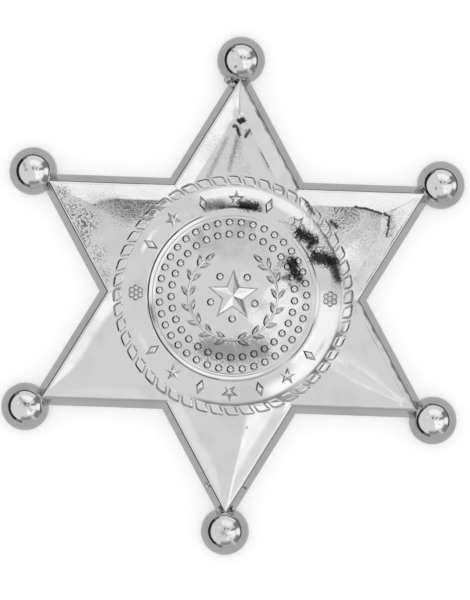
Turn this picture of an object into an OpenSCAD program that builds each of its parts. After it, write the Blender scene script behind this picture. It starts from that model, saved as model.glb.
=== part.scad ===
/* [Star] */
// Height of the badge from the top ball to the bottom ball
badge_h = 76; // [74:1:90]
// Diameter of the round ball on each tip
ball_d = 7; // [6:0.1:8]
// How far the sharp corner of the star's outline would stop short of the ball's centre
tip_inset = 0.5; // [0:0.1:1]
// Height of the steep outer wall above the back rim
wall_h = 2.3; // [2.1:0.05:2.8]
// How far the outer wall leans in between the rim and its top
wall_lean = 1.05; // [0.6:0.05:1.3]
// Width of the sloping facet along every edge
facet_w = 2.5; // [1.8:0.1:3.2]
// Rise of the facet over its width
facet_rise = 0.8; // [0.5:0.05:1.1]
// Width of the soft shoulder between the facet and the plateau
shoulder_w = 1.2; // [0.8:0.1:1.6]
// Rise of the shoulder
shoulder_rise = 0.2; // [0.1:0.05:0.3]
// Rise of the plateau from the shoulder to the middle of the star
plateau_rise = 0.5; // [0.3:0.05:0.7]

/* [Hollow back] */
// Thickness of the outer wall
wall_t = 1.5; // [1.2:0.1:1.8]
// Thickness of the star's roof
roof_t = 1.3; // [1:0.05:1.4]
// Thickness of each ball's shell
ball_t = 1.4; // [1:0.1:1.8]
// Thickness of the medallion at the foot of its band
medal_t = 1.15; // [0.9:0.05:1.2]

/* [Medallion] */
// Diameter over the rope border
medal_d = 35; // [33:0.1:35]
// Width of the slope at the foot of the band, which shows where the facets run under it
skirt_w = 0.4; // [0.2:0.05:0.5]
// Width of the rope border
rope_w = 1.4; // [1.1:0.05:1.7]
// Height of the rope border's turns
rope_h = 0.25; // [0.2:0.05:0.5]
// Length of one turn of the rope with its gap
rope_pitch = 2.2; // [1.8:0.05:3]
// Gap between two turns
rope_gap = 0.35; // [0.2:0.05:0.5]
// How far the inner side of a turn runs ahead of its outer side
rope_slant = 0.73; // [0.4:0.01:1]
// Angle by which the rope border's turns are shifted clockwise
rope_shift = 2.7; // [0:0.1:7.5]
// Width of the band between the rope border and the ring
band_w = 3.5; // [3.2:0.05:3.8]
// Rise of the band's rolled outer edge
band_roll = 0.32; // [0.15:0.01:0.4]
// Rise of the band from its rolled edge to the ring
band_rise = 0.62; // [0.3:0.01:0.8]
// Width of the double ring round the inner disc
ring_w = 0.7; // [0.5:0.05:0.9]
// Height of the double ring
ring_h = 0.17; // [0.1:0.01:0.3]
// Rise of the inner disc from the ring to its middle
disc_rise = 0.3; // [0.2:0.05:0.6]

/* [Ornaments] */
// Angle between two ornaments on the top of the band
top_step = 20; // [16:1:22]
// Angle between two ornaments on the bottom of the band
bottom_step = 18; // [16:1:22]
// Diameter of the small stars on the band
band_star_d = 2.8; // [2.2:0.1:3]
// Length of the lozenges on the band
lozenge_l = 2.6; // [2:0.1:3]
// Width of the lozenges on the band
lozenge_w = 1.3; // [0.9:0.1:1.8]
// Diameter of the two rosettes at the sides of the band
rosette_d = 2.4; // [2:0.1:2.8]
// Height of the ornaments above the band
ornament_h = 0.25; // [0.2:0.05:0.5]
// Diameter of the pellets
pellet_d = 1.2; // [0.9:0.05:1.4]
// Distance between the middles of two pellets in a row
pellet_pitch = 1.73; // [1.5:0.01:2]
// How far the pellets stand out of the disc
pellet_h = 0.28; // [0.2:0.01:0.45]
// Diameter of the large star in the middle
middle_star_d = 8; // [6:0.1:9]
// Height of the large star's peak above the disc
middle_star_h = 0.5; // [0.3:0.05:0.7]
// Radius of the two leafy branches round the large star
branch_r = 6.5; // [5.8:0.1:6.8]
// Angle between two pairs of leaves along a branch
leaf_step = 20; // [17:1:22]
// Angle that a leaf turns away from its branch
leaf_turn = 34; // [25:1:45]
// Width of a branch's stem
stem_w = 0.4; // [0.3:0.05:0.6]
// Length of a leaf
leaf_l = 1.9; // [1.5:0.1:2.2]
// Width of a leaf
leaf_w = 0.8; // [0.6:0.05:1]
// Height of the leaves above the disc
leaf_h = 0.3; // [0.2:0.05:0.4]

/* [Pin] */
// How far the pin lies above the middle of the badge
pin_y = 4; // [0:0.5:6]
// Length of the pin's plate
plate_l = 26; // [22:0.5:27]
// Width of the plate
plate_w = 4.2; // [3.6:0.1:5]
// Thickness of the plate
plate_t = 0.5; // [0.4:0.05:0.6]
// Diameter of the pin's stem
pin_d = 0.8; // [0.6:0.05:0.9]
// Height of the pin's lowest side, its hook, above the rim's plane
pin_clear = 0.2; // [0.1:0.05:0.25]
// Diameter of the barrel that holds the stem's fixed end
barrel_d = 1.6; // [1.3:0.1:1.7]
// Gap between the stem's free end and its hook
hook_gap = 0.12; // [0.08:0.01:0.2]
// Thickness of the hook's wall
hook_t = 0.25; // [0.2:0.05:0.3]
// Diameter of the moulded studs that hold the plate
stud_d = 1.5; // [1.2:0.1:1.8]
// Distance between the two studs
stud_pitch = 14; // [10:0.5:17]
// Diameter of a stud's flattened head
stud_head_d = 2.6; // [2.2:0.1:3]
// Thickness of a stud's flattened head
stud_head_t = 0.25; // [0.2:0.05:0.3]
// Gap between a stud and its hole in the plate
stud_gap = 0.1; // [0.05:0.01:0.15]

/* [Quality] */
// Smoothness of the round parts
$fn = 64; // [32:8:128]

/* [Hidden] */

arms = 6;
// Ball circle and the star's outline at each level, as distances from the middle to its straight edges
ball_ring_r = (badge_h - ball_d) / 2;
rim_e = (ball_ring_r - tip_inset) / 2;
ridge_e = rim_e - wall_lean;
apex_e = ridge_e - facet_w;
plateau_e = apex_e - shoulder_w;
// Heights of the same levels
apex_z = wall_h + facet_rise;
plateau_z = apex_z + shoulder_rise;
crown_z = plateau_z + plateau_rise;
// Surface of the star from the middle outwards: distance to the edge lines, height
star_profile = [[0, crown_z], [plateau_e, plateau_z], [apex_e, apex_z], [ridge_e, wall_h], [rim_e, 0]];
// Radii of the medallion's parts
medal_r = medal_d / 2;
band_r = medal_r - rope_w;
ring_r = band_r - band_w;
disc_r = ring_r - ring_w;
// Heights of the medallion's parts
foot_z = star_z(band_r / 2);
band_z = foot_z + band_roll;
ring_z = band_z + band_rise;
ceiling_z = foot_z - medal_t;
// The two grooves of the double ring and the roll of the band, as shares of their own widths
groove = 0.12 * ring_w;
roll_w = 0.22 * band_w;
// How far raised details reach down into what carries them
root = 0.3;
// How far a cut reaches past a face
over = 1;
// Straight steps in the inner disc's rise
disc_steps = 6;
// Share of a star's tip radius at which its inner corners lie
star_waist = 0.42;
// Shares of the outline that the tops of the raised details close in to
turn_top = 0.72;
star_top = 0.12;
lozenge_top = 0.2;
leaf_top = 0.15;
peak_top = 0.04;
// Pairs of leaves on each branch, and how far the lowest pair lies from the bottom
leaf_pairs = 7;
leaf_start = 8;

// Height of the star's surface at a distance to the edge lines
function star_z(e) = lookup(e, star_profile);
// How far the star's outline through a point lies from the middle: two triangles laid over each other
function star_e(p) = min(triangle_e(p, 30), triangle_e(p, 90));
function triangle_e(p, first) = max([
    for (i = [0:2]) let (a = first + i * 120) p[0] * cos(a) + p[1] * sin(a)
]);
// Height of the star's surface at a clock angle and radius, with a shift to the side
function star_height(a, r, side = 0) =
    star_z(star_e([r * sin(a) + side * cos(a), r * cos(a) - side * sin(a)]));

// Surface of the medallion from the middle outwards: radius, height
medal_profile = concat(
    [for (i = [0:disc_steps]) let (r = disc_r * i / disc_steps) [r, disc_z(r)]],
    [
        [disc_r + groove, ring_z + ring_h],
        [disc_r + ring_w / 2 - groove, ring_z + ring_h],
        [disc_r + ring_w / 2, ring_z + ring_h / 2],
        [disc_r + ring_w / 2 + groove, ring_z + ring_h],
        [ring_r - groove, ring_z + ring_h],
        [ring_r, ring_z],
        [band_r - roll_w, band_z],
        [band_r - roll_w / 3, foot_z + band_roll * 0.65],
        [band_r, foot_z],
        [band_r + skirt_w, wall_h]
    ]
);

// Height of the inner disc at a radius: a flat parabola
function disc_z(r) = ring_z + disc_rise * (1 - pow(r / disc_r, 2));
// Height and slope of the medallion's surface at a radius
function medal_z(r) = lookup(r, medal_profile);
function medal_slope(r) = atan((medal_z(r - 0.4) - medal_z(r + 0.4)) / 0.8);

// Outline of the six-pointed star whose straight edges lie e from the middle, at height z
function star_ring(e, z) = [
    for (i = [0:2 * arms - 1])
        let (a = i * 180 / arms, r = i % 2 == 0 ? 2 * e : e / cos(30))
            [r * sin(a), r * cos(a), z]
];
// Small star with a number of points, as flat corner points
function star_points(d, n, inner) = [
    for (i = [0:2 * n - 1])
        let (a = i * 180 / n, r = d / 2 * (i % 2 == 0 ? 1 : inner))
            [r * sin(a), r * cos(a)]
];
function lozenge_points(w, l) = [[0, l / 2], [w / 2, 0], [0, -l / 2], [-w / 2, 0]];
// Leaf with its stalk end at the bottom and its widest place below the middle
function leaf_points(w, l) = [
    [0, l], [w * 0.4, l * 0.62], [w / 2, l * 0.35], [0, 0], [-w / 2, l * 0.35], [-w * 0.4, l * 0.62]
];
function at_height(points, share, z) = [for (p = points) [p[0] * share, p[1] * share, z]];

// Closed solid through a stack of rings from low to high, with a point in the middle of each end
module stack(rings, low, high) {
    n = len(rings[0]);
    k = len(rings);
    polyhedron(
        concat([for (ring = rings) each ring], [low, high]),
        concat(
            [for (i = [0:n - 1]) [k * n, (i + 1) % n, i]],
            [for (j = [0:k - 2], i = [0:n - 1])
                [j * n + i, j * n + (i + 1) % n, (j + 1) * n + (i + 1) % n, (j + 1) * n + i]],
            [for (i = [0:n - 1]) [k * n + 1, (k - 1) * n + i, (k - 1) * n + (i + 1) % n]]
        )
    );
}

// Raised detail over an outline: upright sides, then slopes that close in to a share of the outline
module raised(points, h, side_h, top_share, middle = [0, 0]) {
    shifted = [for (p = points) p - middle];
    translate([middle[0], middle[1], 0])
        stack(
            [at_height(shifted, 1, -root), at_height(shifted, 1, side_h), at_height(shifted, top_share, h)],
            [0, 0, -root],
            [0, 0, h]
        );
}

// Places a detail on the medallion at a clock angle and radius, square to the surface
module on_medal(a, r) {
    rotate([0, 0, -a]) translate([0, r, medal_z(r)]) rotate([-medal_slope(r), 0, 0]) children();
}

// Places a detail on the star's surface at a clock angle and radius, tilted as the surface is under it
module on_star(a, r, reach) {
    up = (star_height(a, r + reach) - star_height(a, r - reach)) / (2 * reach);
    across = (star_height(a, r, reach) - star_height(a, r, -reach)) / (2 * reach);
    rotate([0, 0, -a]) translate([0, r, star_height(a, r)]) rotate([atan(up), -atan(across), 0]) children();
}

// Outside and inside of the star's hollow shell
module star_outside() {
    stack(
        [star_ring(rim_e, 0), star_ring(ridge_e, wall_h), star_ring(apex_e, apex_z),
            star_ring(plateau_e, plateau_z)],
        [0, 0, 0],
        [0, 0, crown_z]
    );
}

module star_inside() {
    stack(
        [star_ring(rim_e - wall_t, -over), star_ring(rim_e - wall_t, 0),
            star_ring(ridge_e - wall_t, wall_h - roof_t), star_ring(apex_e - wall_t, apex_z - roof_t),
            star_ring(plateau_e - wall_t, plateau_z - roof_t)],
        [0, 0, -over],
        [0, 0, plateau_z - roof_t]
    );
}

// Half ball that stands on the rim's plane
module half_ball(r, below) {
    intersection() {
        sphere(r = r);
        translate([-r - over, -r - over, -below]) cube([2 * (r + over), 2 * (r + over), r + over + below]);
    }
}

module on_tips() {
    for (i = [0:arms - 1]) rotate([0, 0, i * 360 / arms]) translate([0, ball_ring_r, 0]) children();
}

// Solid body of the medallion, turned from its surface profile
module medallion() {
    rotate_extrude()
        polygon(concat(
            [[0, wall_h / 2]],
            medal_profile,
            [[band_r + skirt_w, wall_h / 2]]
        ));
}

// Turns of the rope border: slanted pads with sloping sides, which follow the star's surface
module rope() {
    turn_r = medal_r - rope_w / 2;
    count = round(2 * PI * turn_r / rope_pitch);
    l = 2 * PI * turn_r / count - rope_gap;
    s = rope_slant / 2;
    w = rope_w / 2;
    turn = [[-l / 2 - s, w], [l / 2 - s, w], [l / 2 + s, -w], [-l / 2 + s, -w]];
    for (i = [0:count - 1])
        on_star((i + 0.5) * 360 / count + rope_shift, turn_r, w) raised(turn, rope_h, rope_h / 2, turn_top);
}

// One row of pellets all round at a radius, or only those between two clock angles
module pellet_row(r, from = 0, to = 360) {
    count = round(2 * PI * r / pellet_pitch);
    for (i = [0:count - 1])
        let (a = (i + 0.5) * 360 / count)
            if (a >= from && a <= to) pellet(a, r);
}

module pellet(a, r) {
    on_medal(a, r) translate([0, 0, pellet_h - pellet_d / 2]) sphere(d = pellet_d);
}

// Rosette of six round petals and a round eye
module rosette(a, r) {
    petal_d = rosette_d * 0.4;
    on_medal(a, r) {
        for (i = [0:5])
            rotate([0, 0, i * 60]) translate([0, (rosette_d - petal_d) / 2, ornament_h - petal_d / 2])
                sphere(d = petal_d);
        translate([0, 0, ornament_h - petal_d / 2]) sphere(d = petal_d);
    }
}

// A small star in every second place and a lozenge between
module band_ornament(place) {
    if (place % 2 == 0)
        raised(star_points(band_star_d, 5, star_waist), ornament_h, ornament_h / 3, star_top);
    else
        raised(lozenge_points(lozenge_w, lozenge_l), ornament_h, ornament_h / 3, lozenge_top);
}

// Stars and lozenges in turn along the top and the bottom of the band, with a rosette at each side
module band_ornaments() {
    mid_r = (ring_r + band_r - roll_w / 2) / 2;
    for (i = [-3:3]) {
        on_medal(i * top_step, mid_r) band_ornament(i);
        on_medal(180 + i * bottom_step, mid_r) band_ornament(i);
    }
    for (a = [90, 270]) rosette(a, mid_r);
}

// Leaf that lies along a branch at a clock angle, turned from the branch's direction
module leaf(a, turn) {
    on_medal(a, branch_r) rotate([0, 0, turn])
        raised(leaf_points(leaf_w, leaf_l), leaf_h, leaf_h / 3, leaf_top, [0, leaf_l * 0.4]);
}

// Two leafy branches that rise from the bottom round the large star and leave the top open
module branches() {
    reach = leaf_pairs * leaf_step;
    stem_low = medal_z(branch_r) - root;
    for (side = [-1, 1]) {
        for (i = [0:leaf_pairs - 1], way = [-1, 1])
            leaf(side * (180 - leaf_start - i * leaf_step), side * (90 - way * leaf_turn));
        leaf(side * (180 - reach), side * 90);
    }
    rotate([0, 0, -90 - reach])
        rotate_extrude(angle = 2 * reach)
            translate([branch_r - stem_w / 2, stem_low]) square([stem_w, root + leaf_h * 0.6]);
}

module middle_star() {
    on_medal(0, 0)
        raised(star_points(middle_star_d, 5, star_waist), middle_star_h, middle_star_h / 5, peak_top);
    for (i = [0:4]) pellet(36 + i * 72, middle_star_d * star_waist);
}

// Studs that pass through the pin's plate, with heads flattened over it
module studs() {
    for (x = [-stud_pitch / 2, stud_pitch / 2]) translate([x, pin_y, 0]) {
        translate([0, 0, ceiling_z - plate_t]) cylinder(d = stud_d, h = plate_t + root);
        translate([0, 0, ceiling_z - plate_t - stud_head_t]) cylinder(d = stud_head_d, h = stud_head_t);
    }
}

module star_body() {
    color([0.84, 0.85, 0.86]) {
        difference() {
            union() {
                star_outside();
                on_tips() half_ball(ball_d / 2, 0);
                medallion();
                rope();
                band_ornaments();
                pellet_row(disc_r - pellet_pitch / 2);
                pellet_row(disc_r - pellet_pitch * 1.5);
                branches();
                middle_star();
            }
            star_inside();
            on_tips() half_ball(ball_d / 2 - ball_t, over);
            translate([0, 0, -over]) cylinder(r = band_r - wall_t / 2, h = ceiling_z + over);
        }
        studs();
    }
}

// Pin for the cloth: a plate on the ceiling of the hollow, a barrel, a straight stem and a hook
module brooch_pin() {
    stem_z = pin_clear + hook_t + hook_gap + pin_d / 2;
    plate_z = ceiling_z - plate_t;
    end_x = plate_l / 2 - barrel_d / 2;
    hook_r = pin_d / 2 + hook_gap + hook_t;
    color([0.72, 0.73, 0.75]) translate([0, pin_y, 0]) {
        difference() {
            translate([-plate_l / 2, -plate_w / 2, plate_z]) cube([plate_l, plate_w, plate_t]);
            for (x = [-stud_pitch / 2, stud_pitch / 2])
                translate([x, 0, plate_z - over])
                    cylinder(d = stud_d + 2 * stud_gap, h = plate_t + 2 * over);
        }
        // Barrel across the plate, on a cheek that joins it to the plate
        translate([-end_x, plate_w / 2, stem_z + (barrel_d - pin_d) / 2]) rotate([90, 0, 0])
            cylinder(d = barrel_d, h = plate_w);
        translate([-end_x - barrel_d / 2, -plate_w / 2, stem_z])
            cube([barrel_d, plate_w, plate_z - stem_z + plate_t / 2]);
        // Stem, with a point at its free end
        translate([-end_x, 0, stem_z]) rotate([0, 90, 0]) cylinder(d = pin_d, h = 2 * end_x);
        translate([end_x, 0, stem_z]) rotate([0, 90, 0])
            cylinder(d1 = pin_d, d2 = pin_d / 3, h = barrel_d / 2);
        // Hook that closes round the stem's free end from below
        translate([end_x, 0, stem_z]) rotate([90, 0, 90])
            rotate_extrude(angle = 270, start = 90)
                translate([hook_r - hook_t, -hook_t]) square([hook_t, 3 * hook_t]);
        translate([end_x - hook_t, -hook_t, stem_z + hook_r - hook_t / 2])
            cube([3 * hook_t, 2 * hook_t, plate_z - stem_z - hook_r + hook_t]);
    }
}

star_body();
brooch_pin();
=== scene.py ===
"""Sheriff star badge: a hollow, bright-plated six-pointed star with round tips and a raised medallion."""

import math
from functools import partial

import bpy
import numpy as np
from bpy.props import FloatProperty, FloatVectorProperty, IntProperty, PointerProperty
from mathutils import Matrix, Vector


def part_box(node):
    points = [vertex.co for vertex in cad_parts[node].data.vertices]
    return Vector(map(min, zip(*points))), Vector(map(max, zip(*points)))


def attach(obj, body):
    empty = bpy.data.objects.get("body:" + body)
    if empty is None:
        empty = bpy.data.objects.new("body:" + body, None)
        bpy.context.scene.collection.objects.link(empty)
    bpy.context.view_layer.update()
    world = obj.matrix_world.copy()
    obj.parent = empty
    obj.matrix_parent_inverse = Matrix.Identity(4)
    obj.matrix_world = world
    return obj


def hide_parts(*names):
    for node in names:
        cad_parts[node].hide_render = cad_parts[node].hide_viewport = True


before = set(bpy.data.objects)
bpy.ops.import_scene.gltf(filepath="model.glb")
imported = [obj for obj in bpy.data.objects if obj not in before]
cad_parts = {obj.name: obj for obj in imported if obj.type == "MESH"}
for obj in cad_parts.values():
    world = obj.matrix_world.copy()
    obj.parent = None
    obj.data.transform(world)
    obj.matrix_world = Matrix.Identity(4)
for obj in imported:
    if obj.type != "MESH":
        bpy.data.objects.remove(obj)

bl_info = {
    "name": "Sheriff Star Badge",
    "version": (1, 0, 0),
    "blender": (4, 5, 0),
    "location": "View3D > Sidebar > Badge",
    "description": "Builds a plated sheriff star badge round its construction model, with a plain stage",
    "category": "Object",
}

MM = 0.001
TAU = 2 * math.pi
ARMS = 6
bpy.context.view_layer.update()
STAR_LOW, STAR_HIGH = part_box("star_body")
BADGE_H = STAR_HIGH.y - STAR_LOW.y
BALL_R = 3.5 * MM
# How far the flat ceiling of the hollow lies above the rim's plane: the pin's plate touches it
CEILING_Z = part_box("brooch_pin")[1].z


def length(text, value, about):
    """A size in metres for a property group."""
    return FloatProperty(name=text, description=about, default=value, unit="LENGTH", subtype="DISTANCE")


def angle(text, degrees, about):
    """An angle for a property group, given in degrees."""
    return FloatProperty(
        name=text, description=about, default=math.radians(degrees), unit="ROTATION", subtype="ANGLE"
    )


class StarSizes(bpy.types.PropertyGroup):
    ball_r: length("Ball radius", BALL_R, "Radius of the ball on each tip")
    ball_core_r: length("Ball core", 2.1 * MM, "Radius of the hollow inside each ball")
    ball_ring_r: length("Ball circle", BADGE_H / 2 - BALL_R, "Radius of the circle through the balls")
    rim_reach: length("Rim reach", 17.0 * MM, "Distance from the middle to each edge line at the rim")
    wall_lean: length("Wall lean", 1.05 * MM, "How far the outer wall leans in between rim and top")
    wall_h: length("Wall height", 2.3 * MM, "Height of the outer wall")
    wall_t: length("Wall thickness", 1.5 * MM, "Thickness of the outer wall")
    edge_r: length("Edge rounding", 0.3 * MM, "Radius of the rounding between the wall and the facet")
    facet_w: length("Facet width", 2.2 * MM, "Width of the flat part of the facet along every edge")
    facet_slope: angle("Facet slope", 17.6, "Slope of the facet")
    crease_w: length("Crease width", 0.35 * MM, "Width over which the facet turns into the shoulder")
    shoulder_slope: angle("Shoulder slope", 5.8, "Slope of the shoulder just inside the crease")
    shoulder_w: length("Shoulder width", 4.2 * MM, "Width over which the shoulder turns into the plateau")
    plateau_slope: angle("Plateau slope", 1.5, "Slope of the plateau just inside the shoulder")
    hole_r: length("Recess radius", 15.35 * MM, "Radius of the round recess behind the medallion")


class MedallionSizes(bpy.types.PropertyGroup):
    outer_r: length("Outer radius", 17.5 * MM, "Radius over the rope border")
    band_r: length("Band radius", 16.1 * MM, "Outer radius of the band inside the rope border")
    ring_r: length("Ring radius", 12.55 * MM, "Outer radius of the double ring")
    disc_r: length("Disc radius", 11.6 * MM, "Radius of the disc inside the double ring")
    foot_z: length("Foot height", 3.45 * MM, "Height of the band's outer foot")
    ring_z: length("Ring height", 4.41 * MM, "Height at which the double ring stands")
    ring_h: length("Ring rise", 0.17 * MM, "How far the double ring stands out")
    disc_rise: length("Disc rise", 0.25 * MM, "Rise of the disc from the ring to its middle")


class OrnamentSizes(bpy.types.PropertyGroup):
    rope_turns: IntProperty(name="Rope turns", description="Turns of the rope border", default=48)
    rope_gap: length("Rope gap", 0.35 * MM, "Gap between two turns of the rope border")
    rope_slant: length("Rope slant", 0.73 * MM, "How far the inner side of a turn runs ahead")
    rope_h: length("Rope height", 0.25 * MM, "Height of the rope border's turns")
    rope_shift: angle("Rope shift", 2.7, "How far the rope border's turns are shifted clockwise")
    ornament_r: length("Ornament circle", 14.165 * MM, "Radius of the circle through the band's ornaments")
    ornament_h: length("Ornament height", 0.31 * MM, "Height of the ornaments on the band")
    band_star_r: length("Small star", 1.4 * MM, "Tip radius of the small stars on the band")
    lozenge_l: length("Lozenge length", 2.6 * MM, "Length of the lozenges on the band")
    lozenge_w: length("Lozenge width", 1.3 * MM, "Width of the lozenges on the band")
    rosette_d: length("Rosette", 2.4 * MM, "Diameter of the two rosettes")
    pellet_d: length("Pellet", 1.2 * MM, "Diameter of a pellet at its foot")
    pellet_h: length("Pellet height", 0.28 * MM, "How far a pellet stands out of the disc")
    pellet_pitch: length("Pellet spacing", 1.73 * MM, "Distance between two pellets in a row")
    middle_star_r: length("Large star", 4.0 * MM, "Tip radius of the large star in the middle")
    middle_star_h: length("Large star height", 0.5 * MM, "Height of the large star's peak")
    branch_r: length("Branch radius", 6.5 * MM, "Radius of the two leafy branches")
    leaf_l: length("Leaf length", 1.9 * MM, "Length of a leaf")
    leaf_w: length("Leaf width", 0.8 * MM, "Width of a leaf")
    leaf_h: length("Leaf height", 0.29 * MM, "Height of the leaves")
    stem_w: length("Stem width", 0.4 * MM, "Width of a branch's stem")


class BackSizes(bpy.types.PropertyGroup):
    plate_t: length("Plate thickness", 0.5 * MM, "Thickness of the pin's plate, pierced by the studs")
    stud_x: length("Stud distance", 7.0 * MM, "Distance of each stud from the middle, to the left and right")
    stud_y: length("Stud height", 4.0 * MM, "Distance of the studs above the middle")
    stud_r: length("Stud radius", 0.75 * MM, "Radius of a stud's shank")
    head_r: length("Head radius", 1.3 * MM, "Radius of a stud's flattened head")
    head_t: length("Head thickness", 0.25 * MM, "Thickness of a stud's flattened head")
    root: length("Stud root", 0.3 * MM, "How far a stud goes into the roof")


class PlatingLook(bpy.types.PropertyGroup):
    colour: FloatVectorProperty(
        name="Plating", description="Colour of the bright plating", subtype="COLOR",
        default=(0.62, 0.62, 0.625),
    )
    dull: FloatVectorProperty(
        name="Dull plating", description="Colour of slightly hazy plating", subtype="COLOR",
        default=(0.56, 0.56, 0.565),
    )
    steel: FloatVectorProperty(
        name="Pin steel", description="Colour of the pin's steel", subtype="COLOR", default=(0.5, 0.5, 0.51)
    )
    roughness: FloatProperty(name="Roughness", description="Roughness of the clean plating", default=0.055)
    peel_size: length("Peel size", 0.36 * MM, "Size of the small bumps of the moulded skin")
    peel_depth: length("Peel depth", 0.04 * MM, "Depth of the small bumps where the strength is 1")
    peel_all: FloatProperty(name="Peel all over", description="Strength of the bumps all over", default=0.08)
    steel_roughness: FloatProperty(name="Steel roughness", description="Roughness of the pin", default=0.24)
    grain_size: length("Grain size", 0.06 * MM, "Width of the rolling marks on the pin")
    grain_depth: length("Grain depth", 0.002 * MM, "Depth of the rolling marks on the pin")
    grain_stretch: FloatProperty(name="Grain stretch", description="A mark's length in widths", default=14.0)


class StageLook(bpy.types.PropertyGroup):
    pixel: length("Size of a pixel", 0.1462 * MM, "Width that one pixel shows at the badge")
    rows: IntProperty(name="Picture rows", description="Height of the picture in pixels", default=600)
    distance: length("Camera distance", 1.0, "Height of the camera above the rim's plane")
    sharp_z: length("Scale height", 2.5 * MM, "Height above the rim's plane at which a pixel has its size")
    turn: angle("Camera turn", 1.98, "How far the camera is turned, so that the badge leans clockwise")
    shift_right: length("Aim right", 0.30 * MM, "How far right of the badge's middle the camera aims")
    shift_down: length("Aim down", 0.615 * MM, "How far below the badge's middle the camera aims")
    floor_size: length("Floor size", 6.0, "Width of the floor")
    paper: FloatProperty(name="Paper", description="Lightness of the paper on the floor", default=0.93)
    paper_glow: FloatProperty(name="Paper glow", description="Light that the paper gives off", default=0.12)
    floor_seen: FloatProperty(
        name="Floor mirrored", description="Brightness of the floor in the plating", default=0.60
    )
    tent: FloatProperty(name="Light tent", description="Brightness of the light tent", default=1.02)


def smooth_step(x):
    """Rises from 0 to 1 with level ends: 3 x squared minus 2 x cubed, held between 0 and 1."""
    x = np.clip(x, 0.0, 1.0)
    return x * x * (3 - 2 * x)


def soft_max(a, b, width):
    """The larger of a and b, rounded where they are closer than width: there it is raised by a quarter of
    the squared overlap over the width."""
    width = np.maximum(width, 1e-9)
    overlap = np.maximum(width - np.abs(a - b), 0)
    return np.maximum(a, b) + overlap * overlap / (4 * width)


def clock_point(clock, radius):
    """x and y of a place at a clock angle in degrees (0 is up, clockwise) and a radius."""
    turn = np.radians(clock)
    return radius * np.sin(turn), radius * np.cos(turn)


def waves(x, y, size, height, seed, count=12):
    """Gentle unevenness: the mean of sine waves of about one wavelength in random directions."""
    draw = np.random.default_rng(seed)
    way = draw.uniform(0, TAU, count)
    start = draw.uniform(0, TAU, count)
    stretch = draw.uniform(0.7, 1.4, count)
    total = np.zeros(np.shape(x))
    for w, s, k in zip(way, start, stretch):
        total += np.sin((x * math.cos(w) + y * math.sin(w)) * TAU * k / size + s)
    return total * height / math.sqrt(count)


def triangle_reach(x, y, first, width):
    """Distance of the edge line through a point: the largest of three directions 120 degrees apart, with the
    corners rounded."""
    turns = [math.radians(first + step) for step in (0, 120, 240)]
    reach = [x * math.sin(turn) + y * math.cos(turn) for turn in turns]
    return soft_max(soft_max(reach[0], reach[1], width), reach[2], width)


def star_reach(x, y, width):
    """Edge distance of the star outline through a point: the smaller of the two triangles', rounded."""
    return -soft_max(-triangle_reach(x, y, 60, width), -triangle_reach(x, y, 0, width), width)


# A soft arm's crease: its depth inside the edge, and its width
SOFT_CREASE = (0.8 * MM, 3.4 * MM)
# The share to which the plateau's slope falls, the depth at which the fall starts, and its width
EASED_SHARE, EASE_FROM, EASE_OVER = 0.3, 5 * MM, 10 * MM


def facet_gain(depth, star, soft):
    """Height gained from the star's edge inwards: the running sum of a slope. It is the facet's, falls to
    the shoulder's over the crease, then to the plateau's over the shoulder, and eases off. A soft arm's
    crease starts nearer to the edge and is wider."""
    steps = np.linspace(0, 18 * MM, 3601)
    crease_start, crease_w = SOFT_CREASE if soft else (star.facet_w, star.crease_w)
    crease = smooth_step((steps - crease_start) / crease_w)
    shoulder = 1 - np.clip((steps - crease_start - crease_w) / star.shoulder_w, 0, 1)
    fade = smooth_step((steps - EASE_FROM) / EASE_OVER)
    plateau = math.tan(star.plateau_slope) * (1 - (1 - EASED_SHARE) * fade)
    inner = plateau + (math.tan(star.shoulder_slope) - math.tan(star.plateau_slope)) * shoulder
    slope = math.tan(star.facet_slope) * (1 - crease) + inner * crease
    gained = np.concatenate([[0.0], np.cumsum((slope[1:] + slope[:-1]) / 2 * np.diff(steps))])
    return np.interp(depth, steps, gained)


# Shallow round dents of the star's surface: x, y, radius (mm), depth (mm)
DENTS = (
    (0.1, 26.75, 0.55, 0.06),
    (1.3, 24.4, 0.35, 0.03),
    (-0.9, 24.9, 0.45, 0.035),
)
# The arms turn from soft and calm to crisp and lively from this y on, over this length
CRISP_FROM, CRISP_OVER = -8 * MM, 14 * MM
# The top facets of the side arms grow wider towards the tips: by how much, and from which x and y on
FLARE_W = 0.95 * MM
FLARE_X, FLARE_X_OVER = 17.3 * MM, 4.5 * MM
FLARE_Y, FLARE_Y_OVER = 10 * MM, 2 * MM
# The lower right arm is nearly flat. Clock angle, half width with the soft edge, and width of the soft edge
FLAT_CLOCK, FLAT_HALF_W, FLAT_SOFT = 120, 42, 24
# Its slope at the rim (degrees), and the depth at which a third of that slope is left and the arm levels out
FLAT_SLOPE, FLAT_DEPTH = 8.2, 10 * MM


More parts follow.
